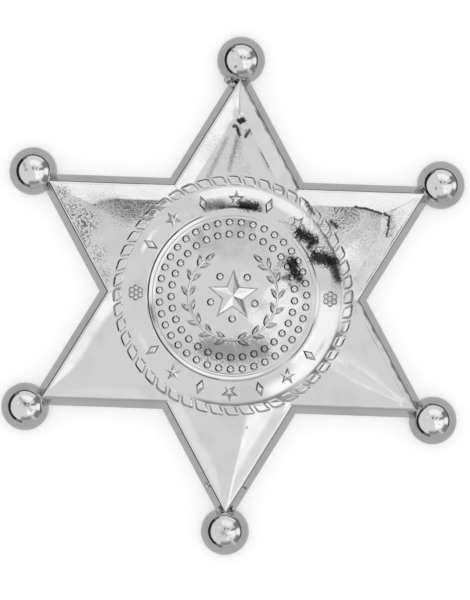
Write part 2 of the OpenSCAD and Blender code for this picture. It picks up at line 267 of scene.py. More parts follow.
def star_height(x, y, star):
    """Height of the star's upper surface: wall height plus the facet's gain at the depth inside the edge
    line. Ridges and valleys are crisp on the facets and grow rounder towards the plateau."""
    edge = star.rim_reach - star.wall_lean
    upper = smooth_step((y - CRISP_FROM) / CRISP_OVER)
    reach = star_reach(x, y, np.full(np.shape(x), 0.2 * MM))
    # A soft arm's rounding starts to grow near its edge, and a crisp arm's inside its facet
    inside = np.maximum(edge - reach - star.facet_w * (0.1 + 0.9 * upper), 0)
    rounding = (0.3 - 0.1 * upper) * MM + (1.3 - 0.5 * upper) * inside
    depth = np.maximum(edge - star_reach(x, y, rounding), 0)
    lively = 0.4 + 0.6 * upper
    uneven = waves(x, y, 6 * MM, 0.014 * MM, 3) * lively + waves(x, y, 2.2 * MM, 0.0024 * MM, 4) * lively
    for cx, cy, radius, drop in DENTS:
        away = (x - cx * MM) ** 2 + (y - cy * MM) ** 2
        uneven = uneven - drop * MM * np.exp(-away / (2 * (radius * MM) ** 2))
    outwards = smooth_step((np.abs(x) - FLARE_X) / FLARE_X_OVER)
    flare = np.minimum(depth, FLARE_W * outwards * smooth_step((y - FLARE_Y) / FLARE_Y_OVER))
    crisp = math.tan(star.facet_slope) * flare + facet_gain(depth - flare, star, False)
    gained = facet_gain(depth, star, True) * (1 - upper) + crisp * upper
    clock = np.degrees(np.arctan2(x, y))
    flat = smooth_step((FLAT_HALF_W - np.abs(clock - FLAT_CLOCK)) / FLAT_SOFT)
    sloping = np.minimum(depth, FLAT_DEPTH)
    even = math.tan(math.radians(FLAT_SLOPE)) * (sloping - sloping**2 / (3 * FLAT_DEPTH))
    gained = gained * (1 - flat) + even * flat
    return star.wall_h + gained + uneven * smooth_step((depth - 0.4 * MM) / MM)


def rounded_profile(corners, radii, steps=5):
    """Polyline with its corners rounded: each inner corner gives way to an arc that touches both sides."""
    points = [np.array(corners[0], float)]
    for before, corner, after, r in zip(corners[:-2], corners[1:-1], corners[2:], radii):
        before, corner, after = (np.array(p, float) for p in (before, corner, after))
        back, on = before - corner, after - corner
        back, on = back / np.linalg.norm(back), on / np.linalg.norm(on)
        half = math.acos(max(-1.0, min(1.0, float(back @ on)))) / 2
        if r <= 0 or half > 1.5:
            points.append(corner)
            continue
        reach = r / math.tan(half)
        middle = corner + (back + on) / np.linalg.norm(back + on) * r / math.sin(half)
        for share in np.linspace(0, 1, steps):
            chord = corner + back * reach * (1 - share) + on * reach * share - middle
            points.append(middle + chord / np.linalg.norm(chord) * r)
    points.append(np.array(corners[-1], float))
    return np.array(points)


def ring_faces(levels, around):
    """Quads between neighbouring rings that each close on themselves, counter-clockwise from outside."""
    level, i = np.meshgrid(np.arange(levels - 1), np.arange(around), indexing="ij")
    low, after = level * around, (i + 1) % around
    high = low + around
    return np.stack([low + i, low + after, high + after, high + i], -1).reshape(-1, 4)


def stacks(rings, low, high):
    """Closed skins through stacks of rings, copies x levels x around x 3, with a point that closes each end.
    Rings run counter-clockwise seen from the high end."""
    copies, levels, around = rings.shape[:3]
    size = levels * around
    points = np.concatenate([rings.reshape(copies, size, 3), low[:, None], high[:, None]], axis=1)
    i = np.arange(around)
    after = (i + 1) % around
    bottom = np.stack([after, i, np.full(around, size)], -1)
    top = np.stack([size - around + i, size - around + after, np.full(around, size + 1)], -1)
    shift = (np.arange(copies) * (size + 2))[:, None, None]
    quads = (ring_faces(levels, around)[None] + shift).reshape(-1, 4)
    fans = (np.concatenate([bottom, top])[None] + shift).reshape(-1, 3)
    return points.reshape(-1, 3), quads, fans


def join_parts(parts):
    """Several point and face arrays as one, with the faces counted on."""
    points, quads, fans, count = [], [], [], 0
    for part_points, part_quads, part_fans in parts:
        points.append(part_points)
        quads.append(part_quads + count)
        fans.append(part_fans + count)
        count += len(part_points)
    return np.concatenate(points), np.concatenate(quads), np.concatenate(fans)


def add_piece(name, part):
    """Puts points and faces into a new smooth-shaded, plated piece that stands for the star's solid."""
    points, quads, fans = part
    old = bpy.data.objects.get(name)
    if old is not None:
        bpy.data.objects.remove(old)
    mesh = bpy.data.meshes.new(name)
    mesh.vertices.add(len(points))
    mesh.vertices.foreach_set("co", points.astype(np.float32).ravel())
    corners = np.concatenate([fans.ravel(), quads.ravel()]).astype(np.int32)
    starts = np.concatenate([np.arange(len(fans)) * 3, len(fans) * 3 + np.arange(len(quads)) * 4])
    mesh.loops.add(len(corners))
    mesh.loops.foreach_set("vertex_index", corners)
    mesh.polygons.add(len(starts))
    mesh.polygons.foreach_set("loop_start", starts.astype(np.int32))
    mesh.polygons.foreach_set("use_smooth", np.ones(len(starts), bool))
    mesh.update(calc_edges=True)
    if mesh.validate():
        raise RuntimeError(f"{name} has faulty faces")
    mesh.materials.append(plating())
    piece = bpy.data.objects.new(name, mesh)
    bpy.context.scene.collection.objects.link(piece)
    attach(piece, "root")
    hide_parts("star_body")


def crowded_outline(x, y, per_edge, crowding=0.9):
    """x and y of points along the closed outline through some corners, crowded towards the corners."""
    share = np.linspace(0, 1, per_edge, endpoint=False)
    share = share - np.sin(share * TAU) / TAU * crowding
    return [(a[:, None] * (1 - share) + np.roll(a, -1)[:, None] * share).ravel() for a in (x, y)]


def star_outline(points, tip_r, notch_r, per_edge, crowding=0.9):
    """Outline of a star, counter-clockwise from its top tip."""
    corner = np.arange(2 * points)
    x, y = clock_point(-corner * 180.0 / points, np.where(corner % 2 == 0, tip_r, notch_r))
    return crowded_outline(x, y, per_edge, crowding)


# Depths of the rows of points on the facet, inside the upper edge line (mm)
FACET_ROWS = (2.6, 2.52, 2.45, 2.38, 2.31, 2.25, 2.18, 2.0, 1.6, 1.2, 0.8)
# The facet's outer rim rolls over from this depth on, in two steps: width (mm) and slope (degrees)
ROLL_DEPTH = 0.42 * MM
ROLL_STEPS = ((0.30, 26), (0.14, 40))
# Roof of the hollow: distance of its two bends from the middle, and its height there and at the wall (mm)
ROOF_BENDS = (10.75, 11.95)
ROOF_HEIGHTS = (2.0, 1.8, 1.0)
# Clock angles between which the wall's top is ragged
RAGGED_EDGES = ((1, 29), (91, 119))
# How far the star's tips reach into the balls, short of their middle
TIP_SHORT = 2.6 * MM


def wall_section(star):
    """Edge distances and heights down the outer wall from the facet's rim, then over rim and inner wall."""
    edge = star.rim_reach - star.wall_lean
    inner_rim, inner_edge = star.rim_reach - star.wall_t, edge - star.wall_t
    slope = math.tan(star.facet_slope)
    reach, height = edge - ROLL_DEPTH, star.wall_h + slope * ROLL_DEPTH
    corners = [(edge - MM, star.wall_h + slope * MM), (reach, height)]
    for wide, steep in ROLL_STEPS:
        reach += wide * MM
        height -= math.tan(math.radians(steep)) * wide * MM
        corners.append((reach, height))
    corners += [(star.rim_reach, 0.0), (inner_rim, 0.0), (inner_edge, ROOF_HEIGHTS[-1] * MM)]
    radii = [star.edge_r, star.edge_r / 2, star.edge_r / 6, 0.12 * MM, 0.12 * MM]
    return rounded_profile(corners, radii, steps=4)[1:]


def star_shell_part(star):
    """Ring-shaped closed skin: rows of points go round the section and every row runs round the star
    outline. A point is its outline direction times an edge distance; near the middle the rows close in on
    the round recess. The height is the star surface on top and a rounded profile over wall, rim and
    hollow."""
    # The edge lines of this outline lie one unit from the middle
    way = np.stack(star_outline(ARMS, 2.0, 1 / math.cos(math.pi / ARMS), 70, 0.985), -1)
    out = np.linalg.norm(way, axis=1)
    unit = way / out[:, None]
    edge = star.rim_reach - star.wall_lean
    inner_edge = edge - star.wall_t
    section = wall_section(star)
    depths = np.array(FACET_ROWS) * MM
    grow = 1 - (1 - np.linspace(0, 1, 26, endpoint=False)) ** 1.6
    start = star.hole_r
    inner_rows = start + ((edge - depths[0]) * out[None] - start) * grow[:, None]
    facet_rows = (edge - depths)[:, None] * out[None]
    top = np.concatenate([inner_rows, facet_rows])
    top_xy = top[..., None] * unit[None]
    top_z = star_height(top_xy[..., 0], top_xy[..., 1], star)
    # The wall waves a little, and is ragged at its top along some edges
    wall = section[:, 0][:, None] * out[None]
    wall_xy = wall[..., None] * unit[None]
    flaw = waves(wall_xy[..., 0], wall_xy[..., 1], 3.5 * MM, 0.012 * MM, 7)
    clock = np.degrees(np.arctan2(unit[:, 0], unit[:, 1])) % 360
    ragged = sum((clock > first) & (clock < last) for first, last in RAGGED_EDGES)
    rough = np.abs(waves(wall_xy[..., 0], wall_xy[..., 1], 1.1 * MM, 0.06 * MM, 8))
    flaw = flaw + rough * ragged[None] * smooth_step((section[:, 1] - 1.5 * MM) / (0.6 * MM))[:, None]
    wall_xy = wall_xy + (unit[None] * (flaw * smooth_step(section[:, 1] / MM)[:, None])[..., None])
    wall_z = np.repeat(section[:, 1][:, None], len(out), axis=1)
    roof = inner_edge * out[None] + (start - inner_edge * out[None]) * np.linspace(0, 1, 9)[1:, None]
    roof_xy = roof[..., None] * unit[None]
    bends = [*(np.array(ROOF_BENDS) * MM), inner_edge]
    roof_z = np.interp(roof / out[None], bends, np.array(ROOF_HEIGHTS) * MM)
    xy = np.concatenate([top_xy, wall_xy, roof_xy])
    z = np.concatenate([top_z, wall_z, roof_z])
    # The tips end in the balls' walls, short of their hollow
    for i in range(ARMS):
        tip = np.array(clock_point(i * 360 / ARMS, 1.0))
        past = np.maximum(xy @ tip - (star.ball_ring_r - TIP_SHORT), 0)
        xy = xy - past[..., None] * tip
    points = np.concatenate([xy, z[..., None]], -1)
    last = (len(z) - 1) * len(out)
    i = np.arange(len(out))
    after = (i + 1) % len(out)
    seam = np.stack([last + i, last + after, after, i], -1)
    quads = np.concatenate([ring_faces(len(z), len(out)), seam])[:, ::-1]
    return points.reshape(-1, 3), quads, np.zeros((0, 3), int)


def ball_tips_part(star):
    """Six half balls with a hollow core: a half circle inside and one outside, turned round each tip's axis,
    with a trace of unevenness in the outer skin."""
    turn = np.arange(72) * TAU / 72
    down = np.radians(np.linspace(0, 90, 13)[1:])
    up = np.radians(np.linspace(0, 90, 40)[:-1])
    radius = np.concatenate([star.ball_core_r * np.sin(down), star.ball_r * np.cos(up)])
    height = np.concatenate([star.ball_core_r * np.cos(down), star.ball_r * np.sin(up)])
    x, y = clock_point(np.arange(ARMS) * 360 / ARMS, star.ball_ring_r)
    ring = np.stack([radius[:, None] * np.cos(turn), radius[:, None] * np.sin(turn)], -1)
    middle = np.stack([x, y], -1)[:, None, None]
    xy = ring[None] + middle
    z = np.broadcast_to(height[None, :, None], xy.shape[:3])
    rings = np.concatenate([xy, z[..., None]], -1)
    outer = (np.arange(len(height)) > len(down))[None, :, None]
    swell = 1 + waves(xy[..., 0], xy[..., 1] + z, 2.5 * MM, 0.0012, 11) * outer
    middle3 = np.concatenate([np.broadcast_to(middle, xy.shape), np.zeros(xy.shape[:3] + (1,))], -1)
    rings = middle3 + (rings - middle3) * swell[..., None]
    low = np.stack([x, y, np.full(ARMS, star.ball_core_r)], -1)
    high = np.stack([x, y, np.full(ARMS, star.ball_r)], -1)
    return stacks(rings, low, high)


# Past its foot the medallion goes on down below the rope border: width, and drop for each unit of width
SKIRT_W = 1.4 * MM
SKIRT_SLOPE = 0.69
# Slope of the band in degrees at shares of its width, from the ring to its foot
BAND_SLOPES = ((0.0, 0.1, 0.25, 0.48, 0.68, 0.85, 0.94, 1.0), (2, 6, 10, 13.5, 19, 24, 29, 34))


def medal_profile(medal):
    """Section of the medallion from the middle outwards: a parabola for the disc, the double ring, a band
    that curves down more steeply outwards, and a skirt that goes on below the rope border."""
    r = np.linspace(0, medal.disc_r, 40, endpoint=False)
    disc = np.stack([r, medal.ring_z + medal.disc_rise * (1 - (r / medal.disc_r) ** 2)], -1)
    low, top = medal.ring_z, medal.ring_z + medal.ring_h
    a, b = medal.disc_r, medal.ring_r
    # A fine inner ridge, then a strip that leans in and ends in the flank of the outer ridge
    rings = rounded_profile(
        [
            (a - 0.03 * MM, low),
            (a + 0.07 * MM, low + 0.45 * medal.ring_h),
            (a + 0.13 * MM, low + 0.45 * medal.ring_h),
            (a + 0.20 * MM, low + 0.1 * medal.ring_h),
            (a + 0.28 * MM, low + 0.1 * medal.ring_h),
            (b - 0.34 * MM, top),
            (b - 0.27 * MM, top),
            (b - 0.04 * MM, low - 0.02 * MM),
            (b + 0.02 * MM, low - 0.02 * MM),
        ],
        [0.02 * MM, 0.02 * MM, 0.02 * MM, 0.02 * MM, 0.04 * MM, 0.04 * MM, 0.03 * MM],
        steps=4,
    )
    # The band's slope grows from the ring outwards, and more quickly near its foot
    reach = np.linspace(b, medal.band_r, 46)
    share = (reach - b) / (medal.band_r - b)
    slope = np.radians(np.interp(share, BAND_SLOPES[0], BAND_SLOPES[1]))
    fall = np.concatenate([[0.0], np.cumsum(np.tan((slope[1:] + slope[:-1]) / 2) * np.diff(reach))])
    band = np.stack([reach, low - fall * (low - medal.foot_z) / fall[-1]], -1)[2:]
    past = np.linspace(0, SKIRT_W, 8)[1:]
    skirt = np.stack([medal.band_r + past, medal.foot_z - SKIRT_SLOPE * past], -1)
    return np.concatenate([disc, rings, band, skirt])


def medal_height(radius, medal):
    """Height of the medallion's surface at a radius, read off its section."""
    profile = medal_profile(medal)
    return np.interp(radius, profile[:, 0], profile[:, 1])


def faint_waves(x, y):
    """Faint unevenness of the pressed medallion."""
    return waves(x, y, 7 * MM, 0.012 * MM, 21) + waves(x, y, 2.6 * MM, 0.0025 * MM, 22)


def medallion_ground(x, y, medal):
    """Height of the medallion's surface under a detail, with its unevenness."""
    return medal_height(np.hypot(x, y), medal) + faint_waves(x, y)


def medallion_part(medal):
    """The medallion's section turned round the middle, closed below by the flat ceiling of the hollow."""
    around = 400
    profile = medal_profile(medal)[1:][::-1]
    turn = np.arange(around) * TAU / around
    floor_r = medal.band_r + SKIRT_W
    radius = np.concatenate([np.linspace(0, floor_r, 5)[1:], profile[:, 0]])
    height = np.concatenate([np.full(4, CEILING_Z), profile[:, 1]])
    x = radius[:, None] * np.cos(turn)
    y = radius[:, None] * np.sin(turn)
    z = height[:, None] + faint_waves(x, y) * (np.arange(len(radius)) > 4)[:, None]
    rings = np.stack([x, y, z], -1)[None]
    low = np.array([[0.0, 0.0, CEILING_Z]])
    high = np.array([[0.0, 0.0, medallion_ground(0.0, 0.0, medal)]])
    return stacks(rings, low, high)


def rounded_square(around, power):
    """Outline of a square with rounded corners and half width 1: cosine and sine raised to a small power."""
    turn = np.arange(around) * TAU / around + TAU / (2 * around)
    c, s = np.cos(turn), np.sin(turn)
    return np.sign(c) * np.abs(c) ** (2 / power), np.sign(s) * np.abs(s) ** (2 / power)


def placed(clock, radius, across, up):
    """x and y of local offsets, across (clockwise) and up (outwards), at places on the badge, as copies x
    around."""
    turn = np.radians(np.asarray(clock, float))[:, None]
    radius = np.asarray(radius, float).reshape(-1, 1)
    x = radius * np.sin(turn) + up * np.sin(turn) + across * np.cos(turn)
    y = radius * np.cos(turn) + up * np.cos(turn) - across * np.sin(turn)
    return x, y


def detail(ground, clock, radius, across, up, shares, heights, middle=(0.0, 0.0)):
    """Closed raised details: the outline (across, up), counter-clockwise, closes in to each share about a
    middle while its height above the ground goes through the heights."""
    rings = []
    for share, h in zip(shares, heights):
        a = middle[0] + (across - middle[0]) * share
        b = middle[1] + (up - middle[1]) * share
        x, y = placed(clock, radius, a, b)
        rings.append(np.stack([x, y, ground(x, y) + h], -1))
    ends = []
    for h in (heights[0], heights[-1]):
        x, y = placed(clock, radius, np.array([middle[0]]), np.array([middle[1]]))
        ends.append(np.stack([x, y, ground(x, y) + h], -1)[:, 0])
    return stacks(np.stack(rings, 1), *ends)


def rope_part(medal, ornament, star):
    """Turns of the rope border: a rounded square, slanted and bent round the border, whose top follows the
    ground; its flanks fall away from the top's outline at one slope, whatever the ground does."""
    count = ornament.rope_turns
    middle_r = (medal.outer_r + medal.band_r) / 2
    half_w = (medal.outer_r - medal.band_r) / 2 + 0.03 * MM
    top_inset = 0.35 * MM
    half_l = (TAU * middle_r / count - ornament.rope_gap) / 2
    u, v = rounded_square(40, 4.2)
    clock = ((np.arange(count) + 0.5) * 360 / count + math.degrees(ornament.rope_shift))[:, None]

    def outline(inset):
        up = v * (half_w - inset)
        across = u * (half_l - inset) - up / half_w * ornament.rope_slant / 2
        turn = np.radians(clock) + across[None] / middle_r
        return (middle_r + up) * np.sin(turn), (middle_r + up) * np.cos(turn)

    top = rope_ground(*outline(top_inset), star, medal)
    # From far below to the top's outline: how far outside it, and how far below it, in mm
    outside = (0.46, 0.46, 0.35, 0.25, 0.14, 0.10, 0.06, 0.03, 0.0)
    below = (1.0, 0.330, 0.231, 0.139, 0.042, 0.02, 0.007, 0.001, 0.0)
    rings = []
    for out, drop in zip(outside, below):
        x, y = outline(top_inset - out * MM)
        base = 0.7 * top + 0.3 * rope_ground(x, y, star, medal)
        rings.append(np.stack([x, y, base + ornament.rope_h - drop * MM], -1))
    for inset in (0.41, 0.5, 0.6):
        x, y = outline(inset * MM)
        rings.append(np.stack([x, y, rope_ground(x, y, star, medal) + ornament.rope_h], -1))
    x, y = clock_point(clock[:, 0], middle_r)
    high = np.stack([x, y, rope_ground(x, y, star, medal) + ornament.rope_h], -1)
    low = high - np.array([0, 0, 1.0 * MM])
    return stacks(np.stack(rings, 1), low, high)


def rope_ground(x, y, star, medal):
    """Height under the rope border: the star's surface or the medallion's skirt, whichever is higher."""
    skirt = medal.foot_z - SKIRT_SLOPE * (np.hypot(x, y) - medal.band_r)
    return soft_max(star_height(x, y, star), skirt, 0.12 * MM)


def lozenge_outline(half_w, half_l, per_edge):
    """Outline of a lozenge, counter-clockwise from its top corner."""
    x = np.array([0, -half_w, 0, half_w])
    y = np.array([half_l, 0, -half_l, 0])
    return crowded_outline(x, y, per_edge)


# Radius of a small star's notches as a share of its tips'
STAR_WAIST = 0.42


def caps(ground, x, y, ball_d, stand_out, around=26):
    """Round caps: a steep flank and a low dome, turned about an upright axis, standing on the ground."""
    turn = np.arange(around) * TAU / around
    radius = ball_d / 2 * np.array([1.04, 1.0, 0.9, 0.8, 0.7, 0.6, 0.53, 0.44, 0.3, 0.14])
    height = stand_out * np.array([-1.0, -0.06, 0.13, 0.32, 0.51, 0.7, 0.81, 0.91, 0.975, 0.995])
    px = x[:, None, None] + radius[None, :, None] * np.cos(turn)
    py = y[:, None, None] + radius[None, :, None] * np.sin(turn)
    base = ground(x, y)[:, None, None]
    rings = np.stack([px, py, np.broadcast_to(base + height[None, :, None], px.shape)], -1)
    low = np.stack([x, y, ground(x, y) + height[0]], -1)
    high = np.stack([x, y, ground(x, y) + stand_out], -1)
    return stacks(rings, low, high)


def relief(half_w, height):
    """Shares and heights of a raised detail whose edges lie half_w from its middle: a flank of about 43
    degrees, then a low crown."""
    inset = np.array([0.0, 0.0, 0.12, 0.32, 0.52, 0.72, 0.88, 1.04]) * height
    shares = np.append(1 - inset / half_w, [0.2, 0.05])
    return shares, height * np.array([-1.2, -0.08, 0.05, 0.22, 0.41, 0.6, 0.71, 0.78, 0.95, 1.0])


def band_ornaments_part(medal, ornament):
    """Small stars and lozenges in turn along the band, and a rosette of round petals at each side."""
    ground = partial(medallion_ground, medal=medal)
    middle_r, h = ornament.ornament_r, ornament.ornament_h
    # Seven places above and seven below, where a star stands in the middle
    places = np.arange(-3, 4)
    clocks = np.concatenate([places * 20.0, 180 + places * 18.0])
    kinds = np.concatenate([places, places]) % 2
    star_r = ornament.band_star_r
    half_w, half_l = ornament.lozenge_w / 2, ornament.lozenge_l / 2
    parts = []
    for kind, outline, slope_w in (
        (0, star_outline(5, star_r, star_r * STAR_WAIST, 6), 0.35 * star_r),
        (1, lozenge_outline(half_w, half_l, 9), 0.9 * half_w),
    ):
        clock = clocks[kinds == kind]
        parts.append(detail(ground, clock, np.full(len(clock), middle_r), *outline, *relief(slope_w, h)))
    petal_d = ornament.rosette_d * 0.4
    px, py = clock_point(np.arange(6) * 60.0, (ornament.rosette_d - petal_d) / 2)
    px, py = np.append(px, 0.0), np.append(py, 0.0)
    x = np.concatenate([px + middle_r, px - middle_r])
    y = np.concatenate([py, py])
    parts.append(caps(ground, x, y, petal_d, h))
    return join_parts(parts)


def pellets_part(medal, ornament):
    """Two full rows of pellets inside the ring and five between the points of the large star."""
    xs, ys = [], []
    for row in (0.5, 1.5):
        radius = medal.disc_r - ornament.pellet_pitch * row
        count = round(TAU * radius / ornament.pellet_pitch)
        x, y = clock_point((np.arange(count) + 0.5) * 360 / count, radius)
        xs.append(x)
        ys.append(y)
    x, y = clock_point(36 + np.arange(5) * 72.0, ornament.middle_star_r * 2 * STAR_WAIST)
    x, y = np.concatenate([*xs, x]), np.concatenate([*ys, y])
    return caps(partial(medallion_ground, medal=medal), x, y, ornament.pellet_d, ornament.pellet_h)


def branches_part(medal, ornament):
    """Two leafy branches: pairs of pointed leaves with a raised midrib along an arc, and a rounded stem."""
    ground = partial(medallion_ground, medal=medal)
    # Seven pairs on each side, 20 degrees apart, whose leaves lean either way, and a leaf at each stem's end
    step = np.arange(7)
    way = np.array([-1.0, 1.0])
    side, place, lean = (a.ravel() for a in np.meshgrid(way, step, way, indexing="ij"))
    clock = np.concatenate([side * (172 - place * 20), way * 40])
    turn = np.radians(np.concatenate([side * (90 - lean * 34), way * 90]))[:, None]
    radius = np.full(len(clock), ornament.branch_r)
    t = np.arange(32) * TAU / 32
    half_l = ornament.leaf_l / 2
    along, wide = np.cos(t), np.sin(t) * (1 - 0.25 * np.cos(t)) * np.abs(np.sin(t)) ** 0.25
    leaf_across, leaf_up = -ornament.leaf_w / 2 * wide, half_l * (1 + along)
    middle = half_l * 0.9

    def leaf_ring(a, b, h):
        across, up = a * np.cos(turn) - b * np.sin(turn), a * np.sin(turn) + b * np.cos(turn)
        x, y = placed(clock, radius, across, up)
        return np.stack([x, y, ground(x, y) + h], -1)

    # The outline closes in across the leaf faster than along it, which leaves a midrib
    shares, heights = relief(ornament.leaf_w / 2, ornament.leaf_h)
    rings = [
        leaf_ring(leaf_across * share, middle + (leaf_up - middle) * (0.35 + 0.65 * share), h)
        for share, h in zip(shares, heights)
    ]
    ends = [leaf_ring(0.0, middle, h)[:, 0] for h in (heights[0], heights[-1])]
    leaves = stacks(np.stack(rings, 1), *ends)
    path = np.radians(np.linspace(40, 320, 150))[:, None]
    ring = np.arange(12) * TAU / 12
    stem_r = ornament.branch_r + ornament.stem_w / 2 * np.cos(ring)
    x, y = stem_r * np.sin(path), stem_r * np.cos(path)
    z = medal_height(ornament.branch_r, medal) + ornament.leaf_h * 0.7 * np.sin(ring) + faint_waves(x, y)
    tube = np.stack([x, y, z], -1)
    stem = stacks(tube[None], tube[:1].mean(1), tube[-1:].mean(1))
    return join_parts([leaves, stem])


def middle_star_part(medal, ornament):
    """Large five-pointed star: a flank along its outline, then faces that rise evenly to its peak."""
    tip_r = ornament.middle_star_r
    outline = star_outline(5, tip_r, tip_r * STAR_WAIST, 14)
    shares = (1.0, 1.0, 0.98, 0.943, 0.907, 0.87, 0.8, 0.55, 0.27, 0.1, 0.03)
    rises = (-0.8, -0.04, 0.02, 0.12, 0.23, 0.32, 0.4, 0.58, 0.79, 0.93, 1.0)
    heights = [ornament.middle_star_h * rise for rise in rises]
    ground = partial(medallion_ground, medal=medal)
    return detail(ground, np.zeros(1), np.zeros(1), *outline, shares, heights)


def studs_part(back):
    """Two moulded studs through the pin's plate: each a shank with a flattened round head, turned about its
    axis."""
    plate_low = CEILING_Z - back.plate_t
    section = rounded_profile(
        [
            (0.4 * MM, plate_low - back.head_t),
            (back.head_r, plate_low - back.head_t),
            (back.head_r, plate_low),
            (back.stud_r, plate_low),
            (back.stud_r, CEILING_Z + back.root),
        ],
        [0.12 * MM, 0.05 * MM, 0.02 * MM],
    )
    turn = np.arange(40) * TAU / 40
    x, y = np.array([-back.stud_x, back.stud_x]), np.full(2, back.stud_y)
    px = x[:, None, None] + section[None, :, None, 0] * np.cos(turn)
    py = y[:, None, None] + section[None, :, None, 0] * np.sin(turn)
    pz = np.broadcast_to(section[None, :, None, 1], px.shape)
    low = np.stack([x, y, np.full(2, section[0, 1])], -1)
    high = np.stack([x, y, np.full(2, section[-1, 1])], -1)
    return stacks(np.stack([px, py, pz], -1), low, high)


# Small faults of the moulding: x, y and z of the middle, size along x, along y and along z (mm)
FLAWS = (
    (-1.85, 31.7, 1.2, 1.1, 1.3, 2.0),
    (-1.15, 30.9, 1.6, 0.9, 1.0, 1.7),
    (-2.9, -27.9, 1.3, 0.8, 0.9, 1.9),
    (3.0, -28.2, 1.3, 0.35, 0.35, 1.2),
    (-1.05, -31.4, 1.3, 0.9, 0.6, 1.6),
    (1.1, -31.1, 1.4, 0.5, 0.5, 1.4),
)


def flaws_part():
    """Nubs left where the moulding was broken off its runner: balls pushed out of round by sine waves."""
    flaw = np.array(FLAWS)
    x, y, z = flaw[:, :3].T * MM
    size = flaw[:, 3:, None, None] * MM / 2
    lift = np.radians(np.linspace(-80, 80, 15))[:, None]
    turn = np.arange(24) * TAU / 24
    draw = np.random.default_rng(5).uniform(0, TAU, (len(flaw), 4))[:, :, None, None]
    lumpy = (
        1
        + 0.14 * np.sin(2 * turn + 3 * lift + draw[:, 0])
        + 0.10 * np.sin(3 * turn - 4 * lift + draw[:, 1])
        + 0.06 * np.sin(5 * turn + 2 * lift + draw[:, 2])
    )
    px = x[:, None, None] + size[:, 0] * lumpy * np.cos(lift) * np.cos(turn)
    py = y[:, None, None] + size[:, 1] * lumpy * np.cos(lift) * np.sin(turn)
    pz = z[:, None, None] + size[:, 2] * lumpy * np.sin(lift)
    reach = flaw[:, 5] * MM / 2
    low, high = (np.stack([x, y, end], -1) for end in (z - reach, z + reach))
    return stacks(np.stack([px, py, pz], -1), low, high)


def node_group(name, inputs, outputs):
    """A new shader node group with float or colour sockets, and its two end nodes."""
    old = bpy.data.node_groups.get(name)
    if old is not None:
        bpy.data.node_groups.remove(old)
    tree = bpy.data.node_groups.new(name, "ShaderNodeTree")
    for text, kind, value in inputs:
        socket = tree.interface.new_socket(name=text, in_out="INPUT", socket_type=kind)
        if value is not None:
            socket.default_value = value
    for text, kind in outputs:
        tree.interface.new_socket(name=text, in_out="OUTPUT", socket_type=kind)
    return tree, tree.nodes.new("NodeGroupInput"), tree.nodes.new("NodeGroupOutput")


def blank_tree(owner):
    """The emptied node tree of a material or a world."""
    owner.use_nodes = True
    owner.node_tree.nodes.clear()
    return owner.node_tree


def feed(tree, socket, value):
    """Links an input to another node's output, or sets its value."""
    if isinstance(value, bpy.types.NodeSocket):
        tree.links.new(value, socket)
    else:
        socket.default_value = value


def group_node(tree, group, inputs):
    """A node of a group, with its inputs by name."""
    node = tree.nodes.new("ShaderNodeGroup")
    node.node_tree = group
    for name, value in inputs.items():
        feed(tree, node.inputs[name], value)
    return node


def math_node(tree, operation, *values):
    """Result of a Math node whose inputs are numbers or sockets."""
    node = tree.nodes.new("ShaderNodeMath")
    node.operation = operation
    for i, value in enumerate(values):
        feed(tree, node.inputs[i], value)
    return node.outputs[0]


def vector_node(tree, operation, *values):
    """Outputs of a Vector Math node whose inputs are vectors or sockets."""
    node = tree.nodes.new("ShaderNodeVectorMath")
    node.operation = operation
    for i, value in enumerate(values):
        feed(tree, node.inputs[i], value)
    return node.outputs


def noise(tree, vector, size, detail=2.0, roughness=0.5):
    """Noise whose lumps are about a given size in metres, a number or a socket."""
    node = tree.nodes.new("ShaderNodeTexNoise")
    scale = math_node(tree, "DIVIDE", 1.0, size) if isinstance(size, bpy.types.NodeSocket) else 1 / size
    inputs = {"Vector": vector, "Scale": scale, "Detail": detail, "Roughness": roughness}
    for name, value in inputs.items():
        feed(tree, node.inputs[name], value)
    return node.outputs["Fac"]


def ramp(tree, value, low, high, out_low=0.0, out_high=1.0):
    """A smooth step between two values."""
    node = tree.nodes.new("ShaderNodeMapRange")
    node.interpolation_type = "SMOOTHSTEP"
    for i, number in enumerate((value, low, high, out_low, out_high)):
        feed(tree, node.inputs[i], number)
    return node.outputs[0]


def mix(tree, kind, factor, a, b):
    """A Mix node for numbers or colours, whose inputs are values or sockets."""
    node = tree.nodes.new("ShaderNodeMix")
    node.data_type = kind
    first = 2 if kind == "FLOAT" else 6
    for i, value in ((0, factor), (first, a), (first + 1, b)):
        feed(tree, node.inputs[i], value)
    return node.outputs[0 if kind == "FLOAT" else 2]


# Where the moulded skin is rough: x, y, radius of the full roughness and of its end (mm), strength
PEEL_SPOTS = (
    (-21, 10, 4, 9, 1.0),
    (-15, 13, 3, 7, 0.6),
    (-24.5, 12.5, 1, 4, 3.0),
    (-22, 8.5, 1.5, 4, 2.6),
    (-19.5, 3.5, 1, 4, 1.6),
    (23, 9, 3, 7, 1.1),
    (24.5, 9, 1, 4, 2.2),
    (21, 3, 1, 4, 1.6),
    (22.4, 12.3, 0.3, 1.1, 5.0),
    (22.7, 11.2, 0.3, 1.1, 5.0),
    (22.4, 9.9, 0.3, 1.1, 4.5),
    (14, 12, 3, 7, 0.7),
    (11, 10, 2, 6, 1.2),
    (12, 12.5, 1, 3, 2.0),
    (-2, 20, 2, 6, 0.4),
    (0.1, 25.9, 0.3, 1.2, 2.5),
)
